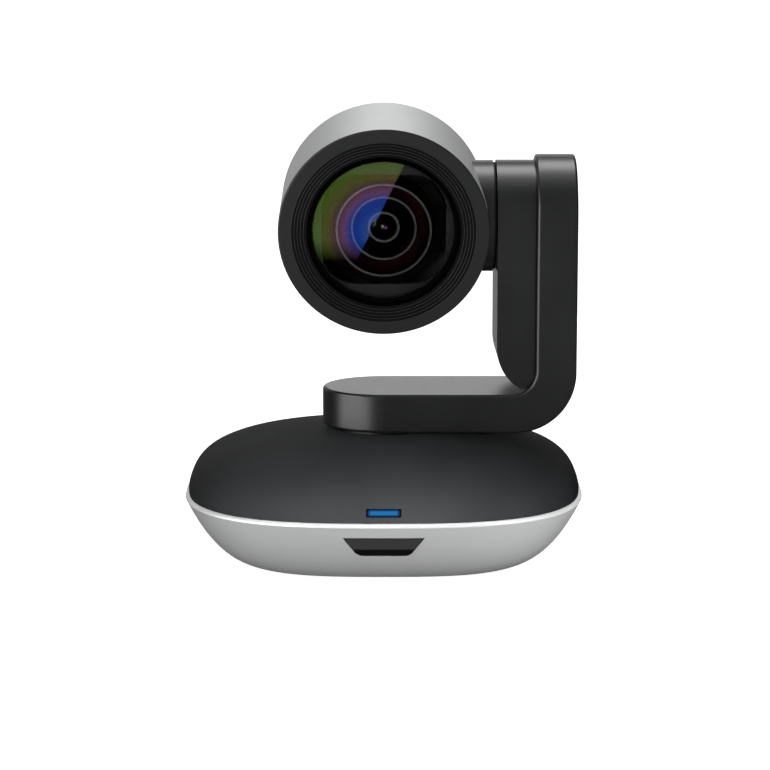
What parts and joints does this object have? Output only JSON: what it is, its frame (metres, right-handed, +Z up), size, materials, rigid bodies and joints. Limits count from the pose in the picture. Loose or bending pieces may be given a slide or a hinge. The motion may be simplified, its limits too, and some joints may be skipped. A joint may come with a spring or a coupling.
{
  "type": "ptz camera",
  "caption": "Conference pan-tilt-zoom camera: a silver barrel head on a black L-shaped arm over a domed rounded-square base with a receiver window and a status light.",
  "frame": {"origin": "on the pan axis, at the underside of the rubber feet", "axes": "+Z up along the pan axis; the lens looks towards -Y; the tilt axis runs along X and the arm's column stands on the +X side"},
  "size_m": [0.1306, 0.13, 0.1483],
  "materials": {
    "silver_paint": "satin metallic paint",
    "black_plastic": "fine satin texture",
    "dark_window": "gloss",
    "blue_light": "gloss, lit",
    "circuit_board": "satin solder mask",
    "chip_black": "matte",
    "steel": "brushed",
    "dark_steel": "satin",
    "brass": "turned",
    "rubber": "matte",
    "aluminium": "machined",
    "motor_steel": "brushed",
    "white_acetal": "satin",
    "bearing_bronze": "satin",
    "flex": "satin film",
    "clear_glass": "polished, coated",
    "lens_black": "anti-reflection matte",
    "trim_metal": "polished",
    "sensor": "gloss"
  },
  "bodies": {
    "base": {"base_lower_shell": "silver_paint", "ir_window": "dark_window", "rear_panel": "black_plastic", "base_top_cover": "black_plastic", "led_lens": "blue_light", "front_board": "circuit_board", "bottom_plate": "dark_steel", "tripod_insert": "brass", "rubber_feet": "rubber", "bottom_screws": "steel", "base_standoffs": "steel", "main_board": "circuit_board", "board_chips": "chip_black", "usb_socket": "steel", "power_jack": "chip_black", "chassis_plate": "aluminium", "pan_bush": "bearing_bronze", "pan_motor": "motor_steel", "pan_housing": "aluminium", "pan_bearing_outer_ring": "steel"},
    "pan_arm": {"pan_shaft": "aluminium", "pan_gear": "white_acetal", "pan_bearing_inner_ring_and_balls": "steel", "pan_collar": "black_plastic", "arm_shell": "black_plastic", "arm_side_cover": "black_plastic", "arm_bottom_cover": "black_plastic", "arm_flex_cable": "flex", "tilt_pod": "black_plastic", "tilt_bearing": "bearing_bronze", "tilt_motor": "motor_steel"},
    "camera_head": {"head_shell": "silver_paint", "rear_cap": "black_plastic", "front_bezel": "black_plastic", "front_glass": "clear_glass", "lens_baffle": "lens_black", "lens_cell": "lens_black", "lens_trim_rings": "trim_metal", "front_element": "clear_glass", "second_element": "clear_glass", "third_element": "clear_glass", "lens_stop": "lens_black", "lens_barrel": "lens_black", "guide_rods": "steel", "zoom_motor": "motor_steel", "focus_motor": "motor_steel", "image_sensor": "sensor", "sensor_board": "circuit_board", "lens_mount_plate": "aluminium", "head_board": "circuit_board", "tilt_hub": "black_plastic", "tilt_gear": "white_acetal"},
    "pan_pinion_shaft": {"pan_pinion": "brass"},
    "tilt_pinion_shaft": {"tilt_pinion": "brass"},
    "zoom_group": {"zoom_carriage": "lens_black", "zoom_lens": "clear_glass"},
    "focus_group": {"focus_carriage": "lens_black", "focus_lens": "clear_glass"},
    "zoom_drive": {"zoom_screw": "steel"},
    "focus_drive": {"focus_screw": "steel"}
  },
  "joints": [
    {"name": "pan", "type": "hinge", "parent": "base", "child": "pan_arm", "pos_m": [0, 0, 0.043], "axis": [0, 0, 1], "range_deg": [-130, 130]},
    {"name": "pan_pinion_spin", "type": "hinge", "parent": "base", "child": "pan_pinion_shaft", "pos_m": [-0.01782, -0.01782, 0.02], "axis": [0, 0, 1], "range_deg": [-785, 785]},
    {"name": "tilt", "type": "hinge", "parent": "pan_arm", "child": "camera_head", "pos_m": [0, 0, 0.112], "axis": [-1, 0, 0], "range_deg": [-30, 100]},
    {"name": "tilt_pinion_spin", "type": "hinge", "parent": "pan_arm", "child": "tilt_pinion_shaft", "pos_m": [0.0437, 0, 0.094], "axis": [-1, 0, 0], "range_deg": [-405, 125]},
    {"name": "zoom_slide", "type": "slide", "parent": "camera_head", "child": "zoom_group", "axis": [0, -0.9848, -0.1736], "range_m": [-0.0065, 0.005]},
    {"name": "focus_slide", "type": "slide", "parent": "camera_head", "child": "focus_group", "axis": [0, -0.9848, -0.1736], "range_m": [-0.0025, 0.003]},
    {"name": "zoom_screw_turn", "type": "hinge", "parent": "camera_head", "child": "zoom_drive", "pos_m": [0, -0.0026, 0.12677], "axis": [0, -0.9848, -0.1736], "range_deg": [-1180, 910]},
    {"name": "focus_screw_turn", "type": "hinge", "parent": "camera_head", "child": "focus_drive", "pos_m": [0, 0.0026, 0.09723], "axis": [0, -0.9848, -0.1736], "range_deg": [-460, 550]}
  ],
  "couplings": [
    {"joint": "pan_pinion_spin", "follows": "pan", "ratio": -6},
    {"joint": "tilt_pinion_spin", "follows": "tilt", "ratio": -4},
    {"joint": "zoom_screw_turn", "follows": "zoom_slide", "rad_per_m": 3141.6},
    {"joint": "focus_screw_turn", "follows": "focus_slide", "rad_per_m": 3141.6}
  ]
}
